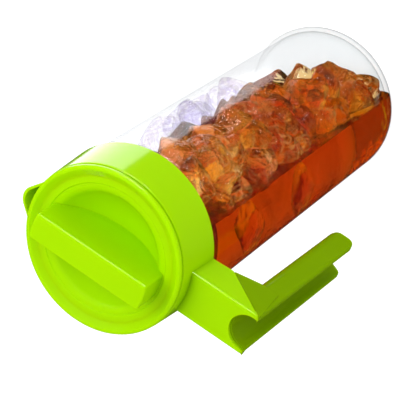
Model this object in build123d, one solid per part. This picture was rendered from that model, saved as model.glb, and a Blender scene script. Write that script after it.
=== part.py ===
"""Iced tea maker: clear jug, collar with spout and handle, screw lid and hanging infuser.

Millimetres. Z is the jug's axis, pointing up, with the origin at the centre of its base.
+X points to the handle and the spout points to -X.
"""
from build123d import *
import math
import os

# ---- jug ------------------------------------------------------------------------------------
JUG_TOP_R = 52.0            # outer radius under the collar
JUG_BASE_R = 50.2           # outer radius above the base corner, less the moulding draft
BASE_CORNER_R = 14.0        # round between the wall and the base
JUG_WALL = 2.4
JUG_FLOOR = 4.0
SHOULDER_Z = 250.0          # where the shoulder meets the collar
SHOULDER_R = 4.0
NECK_R = 47.0               # outer radius of the neck inside the collar
NECK_TOP = 262.0
BORE_R = 44.6               # one bore through the neck and the collar
SNAP_Z = 255.5              # ring on the neck that holds the collar
SNAP_H = 0.7
SNAP_HALF_H = 1.6
NECK_GAP = 0.15             # between the neck and the collar around it

# ---- collar, spout and arm --------------------------------------------------------------------
COLLAR_BASE_R = 52.0
COLLAR_TOP_R = 50.4
COLLAR_TOP = 281.0
SEAL_H = 1.4                # silicone ring between the neck and the collar's shelf
SPOUT_TIP = 57.8            # from the axis to the lip
SPOUT_HALF_ANGLE = 50.0     # between each flank and the spout's middle
SPOUT_TIP_R = 9.5
SPOUT_WALL = 2.3
SPOUT_FOOT_Z = 257.0
SPOUT_FOOT_TIP = 51.2
PORT_Z = 267.0              # lowest point of the spout's channel
ARM_TOP = 272.2
ARM_HALF_W = 13.9
ARM_SKIN = 2.4
ARM_EDGE_R = 1.0            # long edges of its top
ARM_TIP_R = 2.4             # corners of its two tips in plan
SEAM_BEVEL = 0.5            # each side of the mitred seam
SEAM_STOP = 5.0             # the bevel ends this far from the tips
ARM_ROOT_SOLID = 58.0       # the arm is solid from the collar to here
MITRE_LOW = (63.9, 249.0)   # (x, z) where the seam meets the arm's underside
MITRE_HIGH = (93.9, 272.2)  # (x, z) where it meets the top
NOTCH_X = 91.2              # centre of the round notch in the arm's top
NOTCH_R = 11.3
NOTCH_DEPTH = 6.0

# ---- grip --------------------------------------------------------------------------------------
GRIP_LEAN = 1.2             # degrees, away from the jug towards its lower end
GRIP_WEB_X = 77.0           # jug side of the grip, level with the arm's top
GRIP_LIP_X = 93.7
GRIP_BOTTOM = 154.0
GRIP_HALF_W = 13.9
GRIP_HALF_W_LOW = 12.7
GRIP_CORNER_R = 7.0
GRIP_LIP_R = 2.0
GRIP_END_R = 6.0            # corners of its lower end seen from the side
CHANNEL_R = 10.4            # half width of the channel at the top
CHANNEL_R_LOW = 9.3
ELBOW_X = 79.6              # inner corner between the arm's underside and the grip
ELBOW_Z = 244.5

# ---- lid ---------------------------------------------------------------------------------------
RIM_R = 50.1
RIM_TOP = 284.6
RIM_UNDER = 281.8
RIM_BEAD = 2.4              # from the rim to where its inner slope begins
RIM_SLOPE = 6.4             # and to where it meets the ledge
LEDGE_Z = 282.2
STEP_R = 39.5
STEP_H = 0.6
DISH_R = 45.5               # radius of the round dish
DISH_DEPTH = 17.5           # below the ledge
DISH_EDGE_R = 7.0           # round between the dish and the ledge
LID_WALL = 2.2
SKIRT_R = 42.6
SKIRT_WALL = 2.4
SKIRT_BOTTOM = 267.1
BAR_HALF_W = 8.35
BAR_R = 38.0                # the bar's ends follow this circle
BAR_TOP = 300.0
BAR_CORNER_R = 1.4
BAR_EDGE_R = 1.0

# ---- plug and infuser --------------------------------------------------------------------------
PLUG_FLANGE_R = 43.9
PLUG_FLANGE_Z = (261.5, 263.9)
PLUG_NECK_R = 41.2
PLUG_SPIGOT_TOP = 272.0
PLUG_FLOOR_Z = (259.6, 261.8)
PLUG_WALL = 1.8
PLUG_NOTCHES = 8            # let the tea past the flange when the lid is loosened
PLUG_NOTCH_R = 6.0
PLUG_NOTCH_DEPTH = 1.9
SOCKET_R = 23.2             # inside radius of the infuser's socket
SOCKET_WALL = 2.2
SOCKET_BOTTOM = 250.0
BAYONET_LUGS = 3
BAYONET_ARC = 36.0
BAYONET_H = 2.4
INFUSER_R = 21.0
INFUSER_TOP = 259.0
NECK_RING_BOTTOM = 238.0
NECK_RING_WALL = 2.0
NECK_BAND_H = 9.0           # raised band to hold the infuser by
NECK_BAND_STEP = 1.6
CAGE_BOTTOM = 136.0
CAGE_RIBS = 8
CAGE_RIB_ARC = 9.0
CAGE_WALL = 1.8
CAGE_HEAD = 3.0             # height of the ring above its windows
CAGE_FOOT = 8.0             # and of the one below them
MESH_R = INFUSER_R - CAGE_WALL
MESH_T = 0.4
CAP_WALL = 1.6
CAP_DEPTH = 6.0             # the cap's floor below the cage
CAP_OVERLAP = 6.0           # and its wall up round the cage
CAP_LUG = 1.2               # how far the cage's lugs stand out
CAP_LUG_Z = (0.6, 2.8)      # their height above the cage's lower end
CAP_LUG_ARC = 34.0
CAP_LIP_ARC = 50.0
RUN = 0.3                   # gap between turning pieces

# ---- cuts that run out past a piece --------------------------------------------------------------
BELOW_HEAD = 235.0
PAST = 30.0


def outline(corners):
    """Closed wire from (a, b, radius) corners; a radius above zero rounds that corner."""
    count = len(corners)
    cuts = []
    for i, (a, b, radius) in enumerate(corners):
        here = Vector(a, b)
        before = Vector(*corners[i - 1][:2]) - here
        after = Vector(*corners[(i + 1) % count][:2]) - here
        if radius <= 0:
            cuts.append((here, None, here))
            continue
        half = math.radians(before.get_angle(after)) / 2
        reach = radius / math.tan(half)
        bisector = (before.normalized() + after.normalized()).normalized()
        middle = here + bisector * (radius / math.sin(half) - radius)
        cuts.append((here + before.normalized() * reach, middle, here + after.normalized() * reach))
    edges = []
    for i, (start, middle, end) in enumerate(cuts):
        if middle is not None:
            edges.append(ThreePointArc(start, middle, end))
        following = cuts[(i + 1) % count][0]
        if (following - end).length > 1e-6:
            edges.append(Line(end, following))
    return Wire(edges)


def turned(corners):
    """Solid of revolution about Z from (radius, height, corner radius) corners."""
    return revolve(Plane.XZ * Face(outline(corners)), Axis.Z)


def ring(inner, outer, low, high):
    """Plain ring about Z."""
    return turned([(inner, low, 0), (outer, low, 0), (outer, high, 0), (inner, high, 0)])


def side_plate(corners, half_width):
    """Solid from an (x, z, corner radius) outline, centred on the XZ plane."""
    return extrude(Plane.XZ * Face(outline(corners)), half_width, both=True)


def spaced_arcs(band, count, arc):
    """Equal arcs of a ring, evenly spaced, the first centred on +X."""
    box = band.bounding_box()
    half = math.radians(arc) / 2
    reach = box.max.X + 5
    corners = [(0, 0), (reach, -reach * math.tan(half)), (reach, reach * math.tan(half))]
    height = box.max.Z - box.min.Z
    wedge = Pos(0, 0, box.min.Z) * extrude(make_face(Polyline(*corners, close=True)), height)
    piece = band & wedge
    return Compound([Rot(0, 0, i * 360 / count) * piece for i in range(count)])


def make_jug():
    """Clear jug: flat base, rounded corner, drafted wall, shoulder and neck."""
    inner_corner = BASE_CORNER_R - JUG_WALL
    body = turned([
        (0, 0, 0), (JUG_BASE_R, 0, BASE_CORNER_R), (JUG_TOP_R, SHOULDER_Z, SHOULDER_R),
        (NECK_R, SHOULDER_Z, 0), (NECK_R, NECK_TOP, 0.6), (BORE_R, NECK_TOP, 0.6),
        (BORE_R, SHOULDER_Z - 0.5, 1.2), (JUG_TOP_R - JUG_WALL, SHOULDER_Z - 4.5, 3.0),
        (JUG_BASE_R - JUG_WALL, JUG_FLOOR, inner_corner), (0, JUG_FLOOR, 0)])
    low = SNAP_Z - SNAP_HALF_H
    high = SNAP_Z + SNAP_HALF_H
    snap = turned([(NECK_R - 0.5, low, 0), (NECK_R, low, 0),
                   (NECK_R + SNAP_H, SNAP_Z - 0.2, 0), (NECK_R + SNAP_H, SNAP_Z + 0.4, 0),
                   (NECK_R, high, 0), (NECK_R - 0.5, high, 0)])
    return body + snap


def spout_face(tip, root_half_w):
    """Rounded V seen from above, from inside the collar out to the lip."""
    slope = math.tan(math.radians(SPOUT_HALF_ANGLE))
    radius = SPOUT_TIP_R
    apex = tip + radius * (1 / math.sin(math.radians(SPOUT_HALF_ANGLE)) - 1)
    root_x = apex - root_half_w / slope
    return Face(outline([(-root_x, root_half_w, 0), (-apex, 0, radius), (-root_x, -root_half_w, 0)]))


def seam_grooves():
    """The V grooves that bevel both sides of the mitred seam, up to just short of the arm's tips."""
    run = Vector(MITRE_HIGH[0] - MITRE_LOW[0], 0, MITRE_HIGH[1] - MITRE_LOW[1])
    top = Vector(MITRE_HIGH[0], 0, MITRE_HIGH[1]) - run.normalized() * SEAM_STOP
    side = SEAM_BEVEL * math.sqrt(2)
    bar = Rot(45, 0, 0) * Box(run.length + PAST, side, side, align=(Align.MAX, Align.CENTER, Align.CENTER))
    grooves = []
    for y in (-ARM_HALF_W, ARM_HALF_W):
        seam = Plane(origin=(top.X, y, top.Z), x_dir=run, z_dir=(0, 1, 0))
        grooves.append(seam * bar)
    return grooves


def make_arm():
    """Bright arm: a box open underneath past its root, mitred where the grip begins."""
    root = BORE_R + 1.5
    arm = side_plate([(root, SHOULDER_Z, 0), (JUG_TOP_R + 0.5, SHOULDER_Z, 0), (*MITRE_LOW, 0),
                      (*MITRE_HIGH, 0), (root, ARM_TOP, 0)], ARM_HALF_W)
    plan = Face(outline([(root, -ARM_HALF_W, 0), (MITRE_HIGH[0], -ARM_HALF_W, ARM_TIP_R),
                         (MITRE_HIGH[0], ARM_HALF_W, ARM_TIP_R), (root, ARM_HALF_W, 0)]))
    arm = arm & (Pos(0, 0, BELOW_HEAD) * extrude(plan, ARM_TOP - BELOW_HEAD + 1))
    arm = fillet(arm.edges().filter_by(Axis.X).group_by(Axis.Z)[-1], ARM_EDGE_R)
    past = MITRE_HIGH[0] + PAST
    pocket = side_plate([(ARM_ROOT_SOLID, BELOW_HEAD, 0), (past, BELOW_HEAD, 0),
                         (past, ARM_TOP - ARM_SKIN, 0), (ARM_ROOT_SOLID, ARM_TOP - ARM_SKIN, 2.0)],
                        ARM_HALF_W - ARM_SKIN)
    notch = Pos(0, 0, ARM_TOP - NOTCH_DEPTH) * extrude(channel_section(NOTCH_R), 2 * NOTCH_DEPTH)
    return arm - pocket - notch - seam_grooves()


def make_collar():
    """Bright collar: drafted ring with the spout and the handle's arm."""
    shelf_z = NECK_TOP + SEAL_H
    inside_top = COLLAR_TOP + 5
    inner = BORE_R - 2
    band = turned([(inner, SHOULDER_Z, 0), (COLLAR_BASE_R, SHOULDER_Z, 0.5),
                   (COLLAR_TOP_R, COLLAR_TOP, 0.8), (inner, COLLAR_TOP, 0)])
    beak = loft([Pos(0, 0, SPOUT_FOOT_Z) * spout_face(SPOUT_FOOT_TIP, 19.0),
                 Pos(0, 0, COLLAR_TOP) * spout_face(SPOUT_TIP, 26.0)])
    beak_top = beak.edges().group_by(Axis.Z)[-1].sort_by(Axis.X)[0:3]
    beak = fillet(beak_top, 0.7)
    channel = loft([Pos(0, 0, PORT_Z) * spout_face(SPOUT_FOOT_TIP - 0.4, 12.0),
                    Pos(0, 0, COLLAR_TOP + 1) * spout_face(SPOUT_TIP + 0.5 - SPOUT_WALL, 18.0)])
    clear_bore = ring(0, BORE_R, BELOW_HEAD, inside_top)
    neck_space = ring(0, NECK_R + NECK_GAP, BELOW_HEAD, shelf_z)
    groove = ring(0, NECK_R + SNAP_H + NECK_GAP, SNAP_Z - SNAP_HALF_H - 0.2, SNAP_Z + SNAP_HALF_H + 0.2)
    outer_only = band + beak + make_arm()
    return outer_only - clear_bore - neck_space - groove - channel


def make_collar_seal():
    """Flat silicone ring squeezed between the neck's end and the collar's shelf."""
    return ring(BORE_R + 0.2, NECK_R - 0.1, NECK_TOP, NECK_TOP + SEAL_H)


def grip_section(half_w, corner, lip_x, web_x):
    """Outside of the grip's U in plan, rounded on the jug side."""
    return Face(outline([(web_x, half_w, corner), (web_x, -half_w, corner),
                         (lip_x, -half_w, GRIP_LIP_R), (lip_x, half_w, GRIP_LIP_R)]))


def channel_section(half_w):
    """The channel in plan: a round bottom and an open outer side."""
    bottom = NOTCH_X - half_w
    return Face(outline([(bottom, half_w, half_w - 0.05), (bottom, -half_w, half_w - 0.05),
                         (NOTCH_X + PAST, -half_w, 0), (NOTCH_X + PAST, half_w, 0)]))


def leaned(shape):
    """Lean a piece that was drawn upright, about the arm's outer corner."""
    pivot = Pos(GRIP_LIP_X, 0, ARM_TOP)
    return pivot * (Rot(0, -GRIP_LEAN, 0) * (pivot.inverse() * shape))


def make_grip():
    """Olive grip: a U channel open on its outer side, with a wedge and tongue in the arm."""
    rise = ARM_TOP + 4
    post = leaned(loft([
        Pos(0, 0, GRIP_BOTTOM) * grip_section(GRIP_HALF_W_LOW, GRIP_CORNER_R, GRIP_LIP_X, GRIP_WEB_X),
        Pos(0, 0, rise) * grip_section(GRIP_HALF_W, GRIP_CORNER_R, GRIP_LIP_X, GRIP_WEB_X)]))
    channel = leaned(loft([
        Pos(0, 0, GRIP_BOTTOM - 1) * channel_section(CHANNEL_R_LOW),
        Pos(0, 0, rise) * channel_section(CHANNEL_R)]))
    end = leaned(side_plate([
        (GRIP_WEB_X - 1, GRIP_BOTTOM, GRIP_END_R), (GRIP_LIP_X, GRIP_BOTTOM, GRIP_END_R),
        (GRIP_LIP_X, rise + 10, 0), (GRIP_WEB_X - 1, rise + 10, 0)], PAST))
    post = post & end
    wedge = side_plate([(*MITRE_LOW, 0), (ELBOW_X, ELBOW_Z, 0), (MITRE_HIGH[0] - 3, ELBOW_Z, 0),
                        (*MITRE_HIGH, 0)], GRIP_HALF_W)
    above_mitre = side_plate([(*MITRE_LOW, 0), (*MITRE_HIGH, 0), (MITRE_HIGH[0] + PAST, ARM_TOP, 0),
                              (MITRE_HIGH[0] + PAST, ARM_TOP + PAST, 0), (BORE_R, ARM_TOP + PAST, 0),
                              (BORE_R, MITRE_LOW[1], 0)], PAST)
    tongue = side_plate([(ARM_ROOT_SOLID, MITRE_LOW[1] + 1, 0), (MITRE_LOW[0] + 1.4, MITRE_LOW[1] + 1, 0),
                         (MITRE_HIGH[0] - 1, ARM_TOP - ARM_SKIN, 0),
                         (ARM_ROOT_SOLID, ARM_TOP - ARM_SKIN, 2.0)], ARM_HALF_W - ARM_SKIN)
    grip = post + wedge - above_mitre - seam_grooves()
    return grip + tongue - channel


def dish(extra):
    """Ball whose lower part is the lid's dish, larger by the given thickness."""
    centre = LEDGE_Z - DISH_DEPTH + DISH_R
    return Pos(0, 0, centre) * Sphere(DISH_R + extra)


def bar_plan(inset):
    """The twist bar seen from above: straight sides and ends on a circle."""
    half_w = BAR_HALF_W - inset
    plan = Circle(BAR_R - inset) & Rectangle(2 * BAR_R, 2 * half_w)
    return fillet(plan.vertices(), BAR_CORNER_R)


def make_lid_shell():
    """Bright lid: beaded rim, ledge, round dish, hollow twist bar and skirt."""
    under = LEDGE_Z - STEP_H - LID_WALL
    plate = turned([
        (0, LEDGE_Z - DISH_DEPTH - LID_WALL - 2, 0), (SKIRT_R - SKIRT_WALL, under - 12, 0),
        (SKIRT_R - SKIRT_WALL, under, 0), (SKIRT_R, under, 0), (SKIRT_R, RIM_UNDER, 0.6),
        (RIM_R, RIM_UNDER, 0.8), (RIM_R, RIM_TOP, 1.3), (RIM_R - RIM_BEAD, RIM_TOP, 1.0),
        (RIM_R - RIM_SLOPE, LEDGE_Z, 2.5), (STEP_R, LEDGE_Z, 0.5),
        (STEP_R - STEP_H, LEDGE_Z - STEP_H, 0.4), (0, LEDGE_Z - STEP_H, 0)])
    hollow = ring(0, SKIRT_R - SKIRT_WALL, BELOW_HEAD, under) - dish(LID_WALL)
    shell = plate - hollow - dish(0)
    mouth_r = math.sqrt(DISH_R**2 - (DISH_R - DISH_DEPTH + STEP_H)**2)
    mouth = [e for e in shell.edges().filter_by(GeomType.CIRCLE) if abs(e.radius - mouth_r) < 0.01]
    shell = fillet(mouth, DISH_EDGE_R)
    bar = Pos(0, 0, BELOW_HEAD) * extrude(bar_plan(0), BAR_TOP - BELOW_HEAD)
    bar = fillet(bar.faces().sort_by(Axis.Z)[-1].edges(), BAR_EDGE_R)
    bar = (bar & dish(LID_WALL)) + (bar & ring(0, BAR_R + 1, under, BAR_TOP + 1))
    inside = Pos(0, 0, BELOW_HEAD) * extrude(bar_plan(LID_WALL), BAR_TOP - LID_WALL - BELOW_HEAD)
    skirt = ring(SKIRT_R - SKIRT_WALL, SKIRT_R, SKIRT_BOTTOM, RIM_UNDER + 0.2)
    return shell + bar + skirt - inside


def make_lid_plug():
    """Inner cup under the lid: spigot in the skirt, seal seat, floor and infuser socket."""
    low, high = PLUG_FLANGE_Z
    spigot_r = SKIRT_R - SKIRT_WALL - 0.05
    cup = turned([
        (0, PLUG_FLOOR_Z[0], 0), (PLUG_FLANGE_R - 1.5, PLUG_FLOOR_Z[0], 1.5),
        (PLUG_FLANGE_R, low, 0), (PLUG_FLANGE_R, high, 0.4), (PLUG_NECK_R, high, 0),
        (PLUG_NECK_R, SKIRT_BOTTOM, 0), (spigot_r, SKIRT_BOTTOM, 0),
        (spigot_r, PLUG_SPIGOT_TOP, 0.4), (spigot_r - PLUG_WALL, PLUG_SPIGOT_TOP, 0.4),
        (spigot_r - PLUG_WALL, PLUG_FLOOR_Z[1], 1.0), (0, PLUG_FLOOR_Z[1], 0)])
    socket = ring(SOCKET_R, SOCKET_R + SOCKET_WALL, SOCKET_BOTTOM, PLUG_FLOOR_Z[0] + 0.2)
    plug = cup + socket
    lip = ring(INFUSER_R + 0.4, SOCKET_R + 0.5, SOCKET_BOTTOM, SOCKET_BOTTOM + BAYONET_H)
    plug += spaced_arcs(lip, BAYONET_LUGS, BAYONET_ARC)
    notch_x = PLUG_FLANGE_R - PLUG_NOTCH_DEPTH + PLUG_NOTCH_R
    notch = Pos(notch_x, 0, low) * Cylinder(PLUG_NOTCH_R, 3 * (high - low))
    for i in range(PLUG_NOTCHES):
        plug -= Rot(0, 0, (i + 0.5) * 360 / PLUG_NOTCHES) * notch
    return plug


def make_lid_seal():
    """Silicone ring in the seat between the skirt's end and the plug's flange."""
    low = PLUG_FLANGE_Z[1] + 0.1
    high = SKIRT_BOTTOM - 0.1
    middle = (low + high) / 2
    return turned([(PLUG_NECK_R + 0.1, low, 0), (BORE_R - 1.2, low, 0), (BORE_R - 0.1, middle, 0.5),
                   (BORE_R - 1.2, high, 0), (PLUG_NECK_R + 0.1, high, 0)])


def make_infuser_neck():
    """Ring with the bayonet lugs, standing on the plug's socket lips."""
    neck = ring(INFUSER_R - NECK_RING_WALL, INFUSER_R, NECK_RING_BOTTOM, INFUSER_TOP)
    band_top = NECK_RING_BOTTOM + NECK_BAND_H
    band_r = INFUSER_R + NECK_BAND_STEP
    neck += turned([(INFUSER_R - 0.5, NECK_RING_BOTTOM, 0), (band_r, NECK_RING_BOTTOM, 0.5),
                    (band_r, band_top, 0.5), (INFUSER_R - 0.5, band_top, 0)])
    lug_low = SOCKET_BOTTOM + BAYONET_H + RUN
    lug = ring(INFUSER_R - 0.5, SOCKET_R - RUN, lug_low, lug_low + BAYONET_H)
    return neck + spaced_arcs(lug, BAYONET_LUGS, BAYONET_ARC)


def make_infuser_cage():
    """Tube with tall windows between its ribs; it carries the mesh below the neck."""
    inner = INFUSER_R - CAGE_WALL
    cage = ring(inner, INFUSER_R, CAGE_BOTTOM, NECK_RING_BOTTOM)
    turn = 360 / CAGE_RIBS
    window = ring(inner - 1, INFUSER_R + 1, CAGE_BOTTOM + CAGE_FOOT, NECK_RING_BOTTOM - CAGE_HEAD)
    cage -= Rot(0, 0, turn / 2) * spaced_arcs(window, CAGE_RIBS, turn - CAGE_RIB_ARC)
    low, high = CAP_LUG_Z
    lug = ring(INFUSER_R - 0.5, INFUSER_R + CAP_LUG, CAGE_BOTTOM + low, CAGE_BOTTOM + high)
    return cage + spaced_arcs(lug, BAYONET_LUGS, CAP_LUG_ARC)


def make_infuser_mesh():
    """Fine mesh sleeve, drawn as a thin tube inside the cage."""
    return ring(MESH_R - MESH_T, MESH_R, CAGE_BOTTOM + 2, NECK_RING_BOTTOM)


def make_infuser_base():
    """Cap that twists off the cage's lower ring: its lips sit over the cage's lugs."""
    inner = INFUSER_R + CAP_LUG + RUN
    outer = inner + CAP_WALL
    low = CAGE_BOTTOM - CAP_DEPTH
    high = CAGE_BOTTOM + CAP_OVERLAP
    cup = turned([
        (0, low, 0), (outer - 2, low, 2.0), (outer, low + 3, 0.8), (outer, high, 0.5),
        (inner, high, 0), (inner, CAGE_BOTTOM - RUN, 0), (MESH_R - 2, CAGE_BOTTOM - RUN, 1.0),
        (MESH_R - 2, low + 2, 1.0), (0, low + 2, 0)])
    lip = ring(INFUSER_R + RUN, inner + 0.5, CAGE_BOTTOM + CAP_LUG_Z[1] + RUN, high)
    return cup + spaced_arcs(lip, BAYONET_LUGS, CAP_LIP_ARC)


PIECES = {
    "jug_body": make_jug,
    "jug_collar": make_collar,
    "collar_seal": make_collar_seal,
    "handle_grip": make_grip,
    "lid_shell": make_lid_shell,
    "lid_plug": make_lid_plug,
    "lid_seal": make_lid_seal,
    "infuser_neck": make_infuser_neck,
    "infuser_cage": make_infuser_cage,
    "infuser_mesh": make_infuser_mesh,
    "infuser_base": make_infuser_base,
}

os.makedirs("parts", exist_ok=True)
for name, make in PIECES.items():
    export_step(make(), f"parts/{name}.step")
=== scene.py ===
"""Looks of the iced tea maker: plastics, silicone, tea and ice, on a pale floor in soft light."""

import math
import random

import bmesh
import bpy
from mathutils import Matrix, Vector, noise


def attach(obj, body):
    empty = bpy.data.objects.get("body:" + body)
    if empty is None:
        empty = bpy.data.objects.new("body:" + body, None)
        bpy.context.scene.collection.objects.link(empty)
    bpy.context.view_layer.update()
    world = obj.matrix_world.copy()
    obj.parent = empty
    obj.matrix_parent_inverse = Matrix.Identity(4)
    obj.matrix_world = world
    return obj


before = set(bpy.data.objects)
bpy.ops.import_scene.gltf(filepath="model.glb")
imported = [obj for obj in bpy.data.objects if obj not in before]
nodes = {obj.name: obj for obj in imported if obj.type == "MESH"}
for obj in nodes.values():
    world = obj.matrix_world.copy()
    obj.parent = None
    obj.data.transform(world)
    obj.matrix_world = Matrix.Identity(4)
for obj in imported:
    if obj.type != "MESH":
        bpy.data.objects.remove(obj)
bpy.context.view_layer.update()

# All lengths are in metres. The jug stands along Z, and azimuths run from +X towards +Y.

# ---- tea ------------------------------------------------------------------------------------
# The photograph shows the jug lying down, so the tea's level runs along the jug's axis.
# Refraction in the thick wall makes the tea look nearly as wide as the wall.
LEVEL_AZIMUTH = math.radians(122)   # the way that is up while the jug lies
LEVEL_HEIGHT = 0.004                # the tea's surface above the jug's axis
UP = Vector((math.cos(LEVEL_AZIMUTH), math.sin(LEVEL_AZIMUTH), 0))
ALONG_LEVEL = Vector((0, 0, 1)).cross(UP)   # across the jug, in the tea's surface

TEA_R = 0.0499                      # at the base,
TEA_TOP_R = 0.0516                  # and under the shoulder
TEA_BOTTOM_Z = 0.0004
TEA_CORNER_R = 0.0136
TEA_SHOULDER_Z = 0.2455
TEA_NECK = [(0.0464, 0.2492), (0.0446, 0.2585), (0, 0.2585)]   # (radius, height)
TEA_CORNER_STEPS = 8
TEA_WALL_STEPS = 12
TEA_TURN_STEPS = 96

# ---- ice ------------------------------------------------------------------------------------
ICE_SEED = 7
ICE_SIZE = (0.019, 0.026)           # the least and the most that a lump measures each way
JITTER = (0.003, 0.003, 0.007)      # how far a lump may lie from its place, along X, Y and Z
LAYERS = 11
FIRST_LAYER_Z = 0.020
LAYER_STEP = 0.0205

# In each layer, lumps lie against the wall from one azimuth to PILE_EDGE short of the top.
PILE_TOP = [(0.010, 50), (0.020, 62), (0.040, 82), (0.085, 92), (0.125, 97), (0.160, 102),
            (0.230, 96)]            # (height, azimuth of the pile's top in degrees)
PILE_START = 44                     # degrees, as the next two
PILE_EDGE = 14
PILE_STEP = 23
PILE_R = 0.036

# Behind them, each layer has a row in the tea's surface, lower towards the jug's top.
ROW_ACROSS = (-0.014, 0.008, 0.030)
ROW_LIFT = 0.010                    # at the base
ROW_SLOPE = 0.06                    # how far it sinks for each metre of height
SUNK_LAYERS = (5, 8)                # these have one more lump, deep in the tea,
SUNK_PLACE = (-0.030, -0.020)       # this far across and up

# Clear lumps lie on top, high in the jug.
CLEAR_LUMPS = 6
FIRST_CLEAR_Z = 0.080
CLEAR_STEP = 0.016
CLEAR_PLACE = (0.026, 0.021)        # across and up

# Each lump is moved, and then melted, to fit the room it has.
MIDDLE_R = 0.0475                   # its middle stays inside this,
MIDDLE_SHARE = 0.60                 # less this share of its size
LOWEST_MIDDLE_Z = 0.0195
WALL_R = 0.0483                     # none of it goes past this
BESIDE_Z = 0.117                    # above this, lumps fit between the infuser and the wall,
BESIDE_R = 0.0358                   # at this radius,
BESIDE_NEAREST_R = 0.0298           # unless they fall nearer to the axis than this
INFUSER_CLEAR_R = 0.0246            # the room that the infuser needs to turn,
INFUSER_CLEAR_Z = 0.128             # above this height
HIDDEN_DEPTH = 0.002                # ice isn't drawn further than this under the tea's surface

# A lump is a block with leaning faces, some chipped corners and rounded edges.
BLOCK_LEAN = 0.16
CHIPS = 4
CHIP_SLANT = (0.35, 1.0)            # the least and the most that a chip faces each axis
CHIP_DEPTH = (0.50, 0.62)           # from the middle, in mean sizes
EDGE_POWER = 12                     # higher for sharper edges
BLOCK_CUTS = 10
SWELL = (1.7, 0.10)                 # melted waves: how close together, and how deep
RIPPLE = (5, 0.03)
WAVE_RANGE = 50                     # how far apart in the noise two lumps may lie
FULL_TURN = 6.28                    # radians
NEVER_ZERO = 1e-6                   # keeps a vertex on the axis from a division by zero

# ---- looks ----------------------------------------------------------------------------------
LID_TONES = ((0.34, 0.67, 0.0), (0.37, 0.70, 0.0))
COLLAR_TONES = ((0.33, 0.65, 0.0), (0.36, 0.68, 0.0))
# Painted shade: the collar darkens to this colour in its recesses and seams.
COLLAR_PAINTED_SHADE = (0.10, 0.30, 0.0)
GRIP_TONES = ((0.165, 0.30, 0.0), (0.185, 0.33, 0.0))
# Painted shade: the grip darkens to this colour in its channel and seams.
GRIP_PAINTED_SHADE = (0.03, 0.075, 0.0)
SILICONE_TONES = ((0.70, 0.72, 0.68), (0.78, 0.80, 0.77))
WALL_CLEAR = (0.966, 0.971, 0.976)
WALL_HAZE = (0.959, 0.970, 0.973)
HAZE_Z = (0.0, 0.060)               # the base's haze fades out between these heights
# Painted shade: the clear wall darkens to this colour where it is seen edge-on.
WALL_EDGE_SHADE = (0.05, 0.08, 0.10)
WALL_EDGE_SHADE_POWER = (0.012, 0.018, 2.0, 14.0)  # two heights, and how tight the painted edge shade is there
SHOULDER_SHINE_Z = (0.2452, 0.2464)         # the shoulder's round grows shiny between these,
WALL_SHINE = (0.10, 1.5)                    # from the wall's shine to its own
INFUSER_CLEAR = (0.995, 0.997, 1.0)
# Painted shade: the infuser's clear plastic greys to this colour where it is seen edge-on.
INFUSER_EDGE_SHADE = (0.66, 0.71, 0.75)
MESH_RIM = (0.84, 0.86, 0.87)
INFUSER_RIM_POWER = 2.5
TEA_COLOUR = (0.969, 0.862, 0.0)
AMBER_ICE = (0.988, 0.71, 0.02)
RIDGE_SHARE = 0.25                  # how much of the ice's relief is contour lines
WISP_COLOUR = (0.92, 0.50, 0.17)    # lines that froze white, stained by the tea,
WISP_SHARE = 0.34                   # hide this much of the clear ice at most:
WISP_LINES = (0.72, 1.0)            # from none of it to all between these contour values,
WISP_PATCHES = (0.47, 0.60)         # and between these values of a coarse grain
CLEAR_ICE_TONES = ((0.995, 0.995, 0.998), (0.93, 0.93, 0.95))
CLEAR_ICE_LINES = (0.86, 0.83, 0.94)
WHITE = (1.0, 1.0, 1.0)
FLOOR_GREY = (0.5, 0.5, 0.5)

# ---- stage ----------------------------------------------------------------------------------
FLOOR_HALF = 4.0
FLOOR_Z = -0.0002
FLOOR_GLOW = 0.85
FLOOR_MIRRORED = 0.006              # how bright the floor and
ROOM_MIRRORED = 0.012               # the room are in reflections,
ROOM_FILL = 0.60                    # and the room as fill light
SOFTBOX_EDGE = 134                  # azimuth in degrees along which its straight edge runs
SOFTBOX_PLACE = (0.25, 0.135, 0.004)    # its middle: out along the edge, aside from it, and up
RIM_PANEL_AZIMUTH = 105             # degrees
RIM_PANEL_PLACE = (0.50, 0.30)      # out, and up
AIM_Z = 0.15                        # the lights' distances are from here on the axis
CAMERA_PLACE = (0.332043, 0.659208, 1.176048)
CAMERA_RIGHT = Vector((0.804806, 0.340771, -0.485966))
CAMERA_UP = Vector((-0.534749, 0.771576, -0.344549))
CAMERA_LENS = 181.9                 # millimetres, on a sensor this wide
CAMERA_SENSOR = 36.0


# ---- node helpers -----------------------------------------------------------------------------
def new_material(name):
    material = bpy.data.materials.new(name)
    material.use_nodes = True
    tree = material.node_tree
    return material, tree, tree.nodes["Principled BSDF"]


def feed(tree, source, socket):
    """Give a socket a number, a colour or another node's output."""
    if isinstance(source, bpy.types.NodeSocket):
        tree.links.new(source, socket)
    elif isinstance(source, tuple):
        socket.default_value = (*source, 1)
    else:
        socket.default_value = source


def math_node(tree, operation, *sources):
    node = tree.nodes.new("ShaderNodeMath")
    node.operation = operation
    for source, socket in zip(sources, node.inputs):
        feed(tree, source, socket)
    return node.outputs["Value"]


def from_object(tree):
    """The object's own coordinates."""
    return tree.nodes.new("ShaderNodeTexCoord").outputs["Object"]


def own_height(tree):
    split = tree.nodes.new("ShaderNodeSeparateXYZ")
    tree.links.new(from_object(tree), split.inputs["Vector"])
    return split.outputs["Z"]


def grain(tree, scale, detail=3.0, roughness=0.5):
    """Noise from 0 to 1."""
    texture = tree.nodes.new("ShaderNodeTexNoise")
    texture.inputs["Scale"].default_value = scale
    texture.inputs["Detail"].default_value = detail
    texture.inputs["Roughness"].default_value = roughness
    tree.links.new(from_object(tree), texture.inputs["Vector"])
    return texture.outputs["Fac"]


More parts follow.
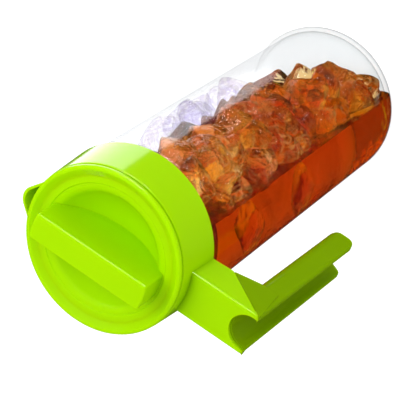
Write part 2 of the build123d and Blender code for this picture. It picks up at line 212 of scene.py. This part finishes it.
def between(tree, value, low, high, at_low, at_high):
    """Map a value's range to another, and keep it inside."""
    ramp = tree.nodes.new("ShaderNodeMapRange")
    numbers = (("From Min", low), ("From Max", high), ("To Min", at_low), ("To Max", at_high))
    for socket, number in numbers:
        ramp.inputs[socket].default_value = number
    tree.links.new(value, ramp.inputs["Value"])
    return ramp.outputs["Result"]


def spread(tree, value, low, high):
    """Map a value from 0 to 1 to a range."""
    return between(tree, value, 0, 1, low, high)


def mixed(tree, value, first, second):
    """A colour between two."""
    mix = tree.nodes.new("ShaderNodeMix")
    mix.data_type = "RGBA"
    feed(tree, first, mix.inputs["A"])
    feed(tree, second, mix.inputs["B"])
    tree.links.new(value, mix.inputs["Factor"])
    return mix.outputs["Result"]


def contour_lines(tree, scale, count):
    """Fine lines from 0 to 1, as in ice that froze in layers."""
    phase = math_node(tree, "MULTIPLY", grain(tree, scale, detail=2), count * 2 * math.pi)
    return between(tree, math_node(tree, "SINE", phase), -1, 1, 0, 1)


def bump(tree, shader, value, strength, distance):
    node = tree.nodes.new("ShaderNodeBump")
    node.inputs["Strength"].default_value = strength
    node.inputs["Distance"].default_value = distance
    tree.links.new(value, node.inputs["Height"])
    tree.links.new(node.outputs["Normal"], shader.inputs["Normal"])


def show_blend(tree, share, first, second):
    """Make the surface a blend of two shaders, with the given share of the second."""
    blend = tree.nodes.new("ShaderNodeMixShader")
    tree.links.new(share, blend.inputs["Fac"])
    tree.links.new(first, blend.inputs[1])
    tree.links.new(second, blend.inputs[2])
    tree.links.new(blend.outputs["Shader"], tree.nodes["Material Output"].inputs["Surface"])


def show_depth(tree, colour, density):
    """Fill the volume with a stain that grows with depth."""
    stain = tree.nodes.new("ShaderNodeVolumeAbsorption")
    stain.inputs["Color"].default_value = (*colour, 1)
    stain.inputs["Density"].default_value = density
    tree.links.new(stain.outputs["Volume"], tree.nodes["Material Output"].inputs["Volume"])


def edge_weight(tree, blend):
    weight = tree.nodes.new("ShaderNodeLayerWeight")
    weight.inputs["Blend"].default_value = blend
    return weight.outputs


def show_through(tree, colour, roughness, edge, shine):
    """Make the surface clear and tinted, with a sheen that grows towards its edges."""
    through = tree.nodes.new("ShaderNodeBsdfTransparent")
    gloss = tree.nodes.new("ShaderNodeBsdfGlossy")
    tree.links.new(colour, through.inputs["Color"])
    tree.links.new(roughness, gloss.inputs["Roughness"])
    share = math_node(tree, "MULTIPLY", edge["Fresnel"], shine)
    show_blend(tree, share, through.outputs["BSDF"], gloss.outputs["BSDF"])


# ---- materials --------------------------------------------------------------------------------
def green_plastic(name, tones, rough, level, painted_shade=None, reach=0.0):
    """Moulded polypropylene: soft gloss and fine mould texture. Painted shade can darken the
    colour in recesses, creases and seams, through ambient occlusion.
    """
    material, tree, shader = new_material(name)
    tone = mixed(tree, grain(tree, 14, detail=2), *tones)
    if painted_shade:
        # Painted shade: the colour darkens towards the given shade colour where ambient occlusion
        # finds surfaces close by.
        painted_shade_ao = tree.nodes.new("ShaderNodeAmbientOcclusion")
        painted_shade_ao.samples = 8
        painted_shade_ao.only_local = True
        painted_shade_ao.inputs["Distance"].default_value = reach
        tone = mixed(tree, painted_shade_ao.outputs["AO"], painted_shade, tone)
    tree.links.new(tone, shader.inputs["Base Color"])
    tree.links.new(spread(tree, grain(tree, 60), *rough), shader.inputs["Roughness"])
    shader.inputs["IOR"].default_value = 1.49
    shader.inputs["Specular IOR Level"].default_value = level
    shader.inputs["Subsurface Weight"].default_value = 0.35
    shader.inputs["Subsurface Radius"].default_value = (1.0, 1.2, 0.2)
    shader.inputs["Subsurface Scale"].default_value = 0.005
    bump(tree, shader, grain(tree, 900, detail=2), strength=0.04, distance=0.0002)
    return material


def jug_plastic(name):
    """Clear copolyester: a hazy base, a shiny shoulder, and painted shade that darkens the wall
    where it is seen edge-on.
    """
    material, tree, shader = new_material(name)
    tree.nodes.remove(shader)
    edge = edge_weight(tree, blend=0.22)
    power = between(tree, own_height(tree), *WALL_EDGE_SHADE_POWER)
    plain = mixed(tree, between(tree, own_height(tree), *HAZE_Z, 0, 1), WALL_HAZE, WALL_CLEAR)
    # Painted shade: the wall's colour darkens towards its edges.
    colour = mixed(tree, math_node(tree, "POWER", edge["Facing"], power), plain, WALL_EDGE_SHADE)
    shine = between(tree, own_height(tree), *SHOULDER_SHINE_Z, *WALL_SHINE)
    show_through(tree, colour, spread(tree, grain(tree, 40), 0.02, 0.22), edge, shine)
    return material


def infuser_plastic(name, rim, roughest, shine):
    """Thin clear plastic that only its edges give away: it greys towards the given rim colour
    where seen edge-on, painted shade for the infuser's plastic.
    """
    material, tree, shader = new_material(name)
    tree.nodes.remove(shader)
    edge = edge_weight(tree, blend=0.22)
    # Towards the edges the colour greys to the rim colour: painted shade on the infuser's
    # plastic.
    facing = math_node(tree, "POWER", edge["Facing"], INFUSER_RIM_POWER)
    colour = mixed(tree, facing, INFUSER_CLEAR, rim)
    show_through(tree, colour, spread(tree, grain(tree, 40), 0.02, roughest), edge, shine)
    return material


def silicone(name):
    material, tree, shader = new_material(name)
    tree.links.new(mixed(tree, grain(tree, 30), *SILICONE_TONES), shader.inputs["Base Color"])
    tree.links.new(spread(tree, grain(tree, 120), 0.40, 0.55), shader.inputs["Roughness"])
    shader.inputs["Subsurface Weight"].default_value = 0.4
    shader.inputs["Subsurface Radius"].default_value = (0.004, 0.004, 0.004)
    bump(tree, shader, grain(tree, 1500, detail=2), strength=0.05, distance=0.0001)
    return material


def tea_liquid(name):
    """Brewed tea: clear liquid that takes out blue and green with depth."""
    material, tree, shader = new_material(name)
    shader.inputs["Base Color"].default_value = (*WHITE, 1)
    shader.inputs["Transmission Weight"].default_value = 1.0
    shader.inputs["Roughness"].default_value = 0.0
    shader.inputs["IOR"].default_value = 1.32
    show_depth(tree, TEA_COLOUR, density=200.0)
    bump(tree, shader, grain(tree, 60, detail=2), strength=0.2, distance=0.002)
    return material


def clear_ice(name):
    """Thin clear ice high in the jug: milky lilac contour lines and a little shine."""
    material, tree, shader = new_material(name)
    tree.nodes.remove(shader)
    milky = mixed(tree, grain(tree, 70), *CLEAR_ICE_TONES)
    colour = mixed(tree, contour_lines(tree, scale=30, count=18), milky, CLEAR_ICE_LINES)
    rough = spread(tree, grain(tree, 110, detail=4), 0.02, 0.15)
    show_through(tree, colour, rough, edge_weight(tree, blend=0.3), shine=0.15)
    return material


def amber_ice(name):
    """Wet ice in tea: glassy, wavy and stained, with patches of fine lines that froze white."""
    material, tree, shader = new_material(name)
    shader.inputs["Base Color"].default_value = (*WHITE, 1)
    shader.inputs["Transmission Weight"].default_value = 1.0
    shader.inputs["IOR"].default_value = 1.24
    show_depth(tree, AMBER_ICE, density=60.0)
    rough = spread(tree, grain(tree, 110, detail=4), -0.05, 0.10)
    tree.links.new(rough, shader.inputs["Roughness"])
    ridges = contour_lines(tree, scale=35, count=16)
    waves = grain(tree, 160, detail=4, roughness=0.6)
    relief = math_node(tree, "MULTIPLY_ADD", ridges, RIDGE_SHARE, waves)
    bump(tree, shader, relief, strength=0.5, distance=0.002)
    wisps = between(tree, contour_lines(tree, scale=30, count=26), *WISP_LINES, 0, WISP_SHARE)
    patches = between(tree, grain(tree, 24, detail=2), *WISP_PATCHES, 0, 1)
    frozen = tree.nodes.new("ShaderNodeBsdfDiffuse")
    frozen.inputs["Color"].default_value = (*WISP_COLOUR, 1)
    share = math_node(tree, "MULTIPLY", wisps, patches)
    show_blend(tree, share, shader.outputs["BSDF"], frozen.outputs["BSDF"])
    return material


# ---- shapes -----------------------------------------------------------------------------------
def cut_off(work, height, keep_below):
    """Cut a closed mesh at a height in the lying jug, and close it again with a flat face."""
    cut = bmesh.ops.bisect_plane(work, geom=work.verts[:] + work.edges[:] + work.faces[:],
                                 plane_co=UP * height, plane_no=UP if keep_below else -UP,
                                 clear_outer=True)
    rim = [part for part in cut["geom_cut"] if isinstance(part, bmesh.types.BMEdge)]
    if rim:
        bmesh.ops.contextual_create(work, geom=rim)


def place_in_scene(name, data):
    holder = bpy.data.objects.new(name, data)
    bpy.context.scene.collection.objects.link(holder)
    return holder


def add_content(name, work, material, smooth):
    """Turn a finished mesh into a piece that stays in the jug."""
    mesh = bpy.data.meshes.new(name)
    work.to_mesh(mesh)
    work.free()
    mesh.materials.append(material)
    for face in mesh.polygons:
        face.use_smooth = smooth
    piece = place_in_scene(name, mesh)
    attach(piece, "jug")


def lathe(profile, steps):
    """Closed mesh from (radius, height) points turned about Z, the first and last on the axis."""
    work = bmesh.new()
    turn = [2 * math.pi * i / steps for i in range(steps)]
    loops = []
    for radius, z in profile:
        if radius == 0:
            loops.append([work.verts.new((0, 0, z))])
        else:
            loops.append([work.verts.new((radius * math.cos(a), radius * math.sin(a), z))
                          for a in turn])
    for low, high in zip(loops, loops[1:]):
        for i in range(steps):
            j = (i + 1) % steps
            corners = [low[i % len(low)], low[j % len(low)],
                       high[j % len(high)], high[i % len(high)]]
            work.faces.new(list(dict.fromkeys(corners)))
    return work


def make_tea():
    """Tea settled along one side of the jug, up to a level surface that runs along the axis."""
    corner_z = TEA_BOTTOM_Z + TEA_CORNER_R
    profile = [(0, TEA_BOTTOM_Z)]
    for i in range(TEA_CORNER_STEPS + 1):
        angle = math.radians(90 * i / TEA_CORNER_STEPS)
        profile.append((TEA_R - TEA_CORNER_R * (1 - math.sin(angle)),
                        corner_z - TEA_CORNER_R * math.cos(angle)))
    for i in range(1, TEA_WALL_STEPS + 1):
        share = i / TEA_WALL_STEPS
        profile.append((TEA_R + (TEA_TOP_R - TEA_R) * share,
                        corner_z + (TEA_SHOULDER_Z - corner_z) * share))
    work = lathe(profile + TEA_NECK, TEA_TURN_STEPS)
    cut_off(work, LEVEL_HEIGHT, keep_below=True)
    bmesh.ops.recalc_face_normals(work, faces=work.faces)
    add_content("tea", work, tea_liquid("tea_liquid"), smooth=False)


def lump(place, size, turn, chance, afloat):
    """A block with chipped corners, rounded edges and melted, wavy faces.

    Ice hardly shows in tea, so a lump afloat is drawn from just under the surface up.
    """
    flats = []
    for axis in range(3):
        for way in (-1, 1):
            normal = Vector([chance.uniform(-BLOCK_LEAN, BLOCK_LEAN) for _ in range(3)])
            normal[axis] = way
            flats.append((normal.normalized(), size[axis] / 2))
    for _ in range(CHIPS):
        normal = Vector([chance.choice((-1, 1)) * chance.uniform(*CHIP_SLANT) for _ in range(3)])
        flats.append((normal.normalized(), chance.uniform(*CHIP_DEPTH) * sum(size) / 3))
    offset = Vector([chance.uniform(-WAVE_RANGE, WAVE_RANGE) for _ in range(3)])

    work = bmesh.new()
    bmesh.ops.create_cube(work, size=1.0)
    bmesh.ops.subdivide_edges(work, edges=work.edges[:], cuts=BLOCK_CUTS, use_grid_fill=True)
    for vertex in work.verts:
        way = vertex.co.normalized()
        nearness = sum(max(normal.dot(way), 0) ** EDGE_POWER / depth ** EDGE_POWER
                       for normal, depth in flats)
        melt = 1
        for closeness, depth in (SWELL, RIPPLE):
            melt += noise.noise(way * closeness + offset) * depth
        vertex.co = way * (nearness ** (-1 / EDGE_POWER) * melt)
    work.transform(Matrix.Translation(place) @ turn.to_4x4())
    for vertex in work.verts:
        off_axis = max(math.hypot(vertex.co.x, vertex.co.y), NEVER_ZERO)
        nearest = INFUSER_CLEAR_R if vertex.co.z > INFUSER_CLEAR_Z else 0
        share = min(max(off_axis, nearest), WALL_R) / off_axis
        vertex.co.x *= share
        vertex.co.y *= share
    if afloat:
        cut_off(work, LEVEL_HEIGHT - HIDDEN_DEPTH, keep_below=False)
    return work


def random_turn(chance):
    turn = Matrix.Rotation(chance.uniform(0, FULL_TURN), 3, (1, 0, 0))
    return turn @ Matrix.Rotation(chance.uniform(0, FULL_TURN), 3, (0, 0, 1))


def in_lying_jug(z, across, up):
    """A point at a height in the standing jug, this far across and up in the lying one."""
    return Vector((0, 0, z)) + ALONG_LEVEL * across + UP * up


def pile_top(z):
    """The azimuth of the pile's top at a height, in degrees."""
    for (low_z, low_top), (high_z, high_top) in zip(PILE_TOP, PILE_TOP[1:]):
        if z < high_z:
            return low_top + (high_top - low_top) * (z - low_z) / (high_z - low_z)


def lump_places():
    """Where the amber lumps lie, and whether each is afloat."""
    for layer in range(LAYERS):
        z = FIRST_LAYER_Z + layer * LAYER_STEP
        arc = pile_top(z) - PILE_EDGE - PILE_START
        count = 1 + max(0, round(arc / PILE_STEP))
        for i in range(count):
            azimuth = math.radians(PILE_START + arc * (i / max(1, count - 1)))
            yield Vector((math.cos(azimuth) * PILE_R, math.sin(azimuth) * PILE_R, z)), True
        for across in ROW_ACROSS:
            yield in_lying_jug(z, across, ROW_LIFT - ROW_SLOPE * z), True
        if layer in SUNK_LAYERS:
            yield in_lying_jug(z, *SUNK_PLACE), False


def make_ice():
    """Lumps stacked against the wall above the tea, others behind them, and clear ones on top."""
    chance = random.Random(ICE_SEED)
    number = 0

    def add(middle, material, afloat):
        nonlocal number
        size = [chance.uniform(*ICE_SIZE) for _ in range(3)]
        place = middle + Vector([chance.uniform(-reach, reach) for reach in JITTER])
        turn = random_turn(chance)
        off_axis = math.hypot(place.x, place.y)
        if place.z > BESIDE_Z:
            if off_axis < BESIDE_NEAREST_R:
                return
            new_off = BESIDE_R
        else:
            new_off = min(off_axis, MIDDLE_R - max(size) * MIDDLE_SHARE)
        place = Vector((place.x * new_off / off_axis, place.y * new_off / off_axis,
                        max(place.z, LOWEST_MIDDLE_Z)))
        work = lump(place, size, turn, chance, afloat)
        add_content(f"ice_{number:02d}", work, material, smooth=True)
        number += 1

    amber = amber_ice("ice_amber")
    clear = clear_ice("ice_clear")
    for middle, afloat in lump_places():
        add(middle, amber, afloat)
    for i in range(CLEAR_LUMPS):
        add(in_lying_jug(FIRST_CLEAR_Z + i * CLEAR_STEP, *CLEAR_PLACE), clear, True)


# ---- dress the frame --------------------------------------------------------------------------
def give(material, *names):
    for name in names:
        piece = nodes[name]
        if not piece.material_slots:
            piece.data.materials.append(material)
        for holder in piece.material_slots:
            holder.material = material


def dress_frame():
    lid = green_plastic("lid_green", LID_TONES, rough=(0.10, 0.16), level=0.28)
    # The collar and grip get painted shade in their recesses, creases and seams; the lid gets
    # none.
    collar = green_plastic("green_plastic", COLLAR_TONES, rough=(0.10, 0.16), level=0.28,
                           painted_shade=COLLAR_PAINTED_SHADE, reach=0.004)
    grip = green_plastic("olive_grip", GRIP_TONES, rough=(0.11, 0.16), level=0.08,
                         painted_shade=GRIP_PAINTED_SHADE, reach=0.014)
    infuser = infuser_plastic("infuser_plastic", INFUSER_EDGE_SHADE, roughest=0.10, shine=0.06)
    mesh = infuser_plastic("mesh", MESH_RIM, roughest=0.3, shine=0.04)
    give(lid, "lid_shell", "lid_plug")
    give(collar, "jug_collar")
    give(grip, "handle_grip")
    give(jug_plastic("clear_plastic"), "jug_body")
    give(silicone("seal_silicone"), "collar_seal", "lid_seal")
    give(infuser, "infuser_neck", "infuser_cage", "infuser_base")
    give(mesh, "infuser_mesh")


# ---- stage ------------------------------------------------------------------------------------
def gloss_only(tree):
    """1 for a reflected gloss ray, 0 for any other, refraction included."""
    rays = tree.nodes.new("ShaderNodeLightPath").outputs
    return math_node(tree, "MULTIPLY", rays["Is Glossy Ray"], rays["Is Reflection Ray"])


def make_floor():
    """A pale floor, which gloss sees much darker, as with black cards around a real set."""
    mesh = bpy.data.meshes.new("floor")
    corners = [(-FLOOR_HALF, -FLOOR_HALF, 0), (FLOOR_HALF, -FLOOR_HALF, 0),
               (FLOOR_HALF, FLOOR_HALF, 0), (-FLOOR_HALF, FLOOR_HALF, 0)]
    mesh.from_pydata(corners, [], [(0, 1, 2, 3)])
    floor = place_in_scene("floor", mesh)
    floor.location.z = FLOOR_Z
    material, tree, shader = new_material("floor_pale")
    shader.inputs["Base Color"].default_value = (*FLOOR_GREY, 1)
    shader.inputs["Emission Color"].default_value = (*WHITE, 1)
    shader.inputs["Emission Strength"].default_value = FLOOR_GLOW
    shader.inputs["Roughness"].default_value = 0.9
    shader.inputs["Specular IOR Level"].default_value = 0.0
    mirrored = tree.nodes.new("ShaderNodeEmission")
    mirrored.inputs["Strength"].default_value = FLOOR_MIRRORED
    show_blend(tree, gloss_only(tree), shader.outputs["BSDF"], mirrored.outputs["Emission"])
    mesh.materials.append(material)


def make_panel(name, size, power, place, facing, unseen_by):
    """An area light that neither the camera nor the named kinds of ray see."""
    light = bpy.data.lights.new(name, "AREA")
    light.shape = "RECTANGLE"
    light.size, light.size_y = size
    light.energy = power
    holder = place_in_scene(name, light)
    holder.location = place
    holder.rotation_euler = facing
    holder.visible_camera = False
    for kind in unseen_by:
        setattr(holder, f"visible_{kind}", False)


def make_softbox():
    """Panel low on the spout's side, seen in the collar's gloss and along the jug's near edge."""
    turn = math.radians(SOFTBOX_EDGE)
    along = Vector((math.cos(turn), math.sin(turn), 0))
    across = Vector((-along.y, along.x, 0))
    out, aside, up = SOFTBOX_PLACE
    place = along * out + across * aside + Vector((0, 0, up))
    axes = Matrix((along, -across, Vector((0, 0, -1)))).transposed()
    make_panel("softbox", (0.30, 0.33), 1.0, place, axes.to_euler(), ("diffuse", "transmission"))


def make_rim_panel():
    """Upright panel that only rounded rims mirror to the camera."""
    turn = math.radians(RIM_PANEL_AZIMUTH)
    direction = Vector((math.cos(turn), math.sin(turn), 0))
    out, up = RIM_PANEL_PLACE
    place = direction * out + Vector((0, 0, up))
    facing = direction.to_track_quat("Z", "Y").to_euler()
    make_panel("rim_panel", (0.30, 0.10), 2.8, place, facing, ("diffuse", "transmission"))


def make_light(name, azimuth, elevation, distance, size, power):
    """Soft light that leaves no highlight of its own."""
    a, e = math.radians(azimuth), math.radians(elevation)
    direction = Vector((math.cos(a) * math.cos(e), math.sin(a) * math.cos(e), math.sin(e)))
    place = direction * distance + Vector((0, 0, AIM_Z))
    facing = direction.to_track_quat("Z", "Y").to_euler()
    make_panel(name, (size, size), power, place, facing, ("glossy",))


def make_room():
    """White room, weaker as fill light and much darker in reflections."""
    world = bpy.data.worlds.new("studio")
    world.use_nodes = True
    tree = world.node_tree
    mirrored = spread(tree, gloss_only(tree), 1.0, ROOM_MIRRORED)
    rays = tree.nodes.new("ShaderNodeLightPath")
    fill = spread(tree, rays.outputs["Is Diffuse Ray"], 1.0, ROOM_FILL)
    back = tree.nodes["Background"]
    back.inputs["Color"].default_value = (*WHITE, 1)
    tree.links.new(math_node(tree, "MULTIPLY", mirrored, fill), back.inputs["Strength"])
    bpy.context.scene.world = world


def make_camera():
    """The photograph's view: from the lid's side, above, and rolled so that the jug lies down."""
    camera = bpy.data.cameras.new("camera")
    camera.sensor_width = CAMERA_SENSOR
    camera.lens = CAMERA_LENS
    camera.clip_start = 0.05
    camera.clip_end = 50.0
    holder = place_in_scene("camera", camera)
    turn = Matrix((CAMERA_RIGHT, CAMERA_UP, CAMERA_RIGHT.cross(CAMERA_UP))).transposed()
    holder.matrix_world = Matrix.Translation(CAMERA_PLACE) @ turn.to_4x4()
    bpy.context.scene.camera = holder


def make_stage():
    make_floor()
    make_softbox()
    make_rim_panel()
    make_light("key", azimuth=150, elevation=60, distance=0.75, size=0.5, power=2.35)
    make_light("fill", azimuth=75, elevation=62, distance=1.5, size=1.0, power=7.8)
    make_room()
    make_camera()
    scene = bpy.context.scene
    scene.view_settings.view_transform = "Standard"
    scene.cycles.max_bounces = 32
    scene.cycles.transmission_bounces = 32
    scene.cycles.transparent_max_bounces = 48


dress_frame()
make_tea()
make_ice()
make_stage()
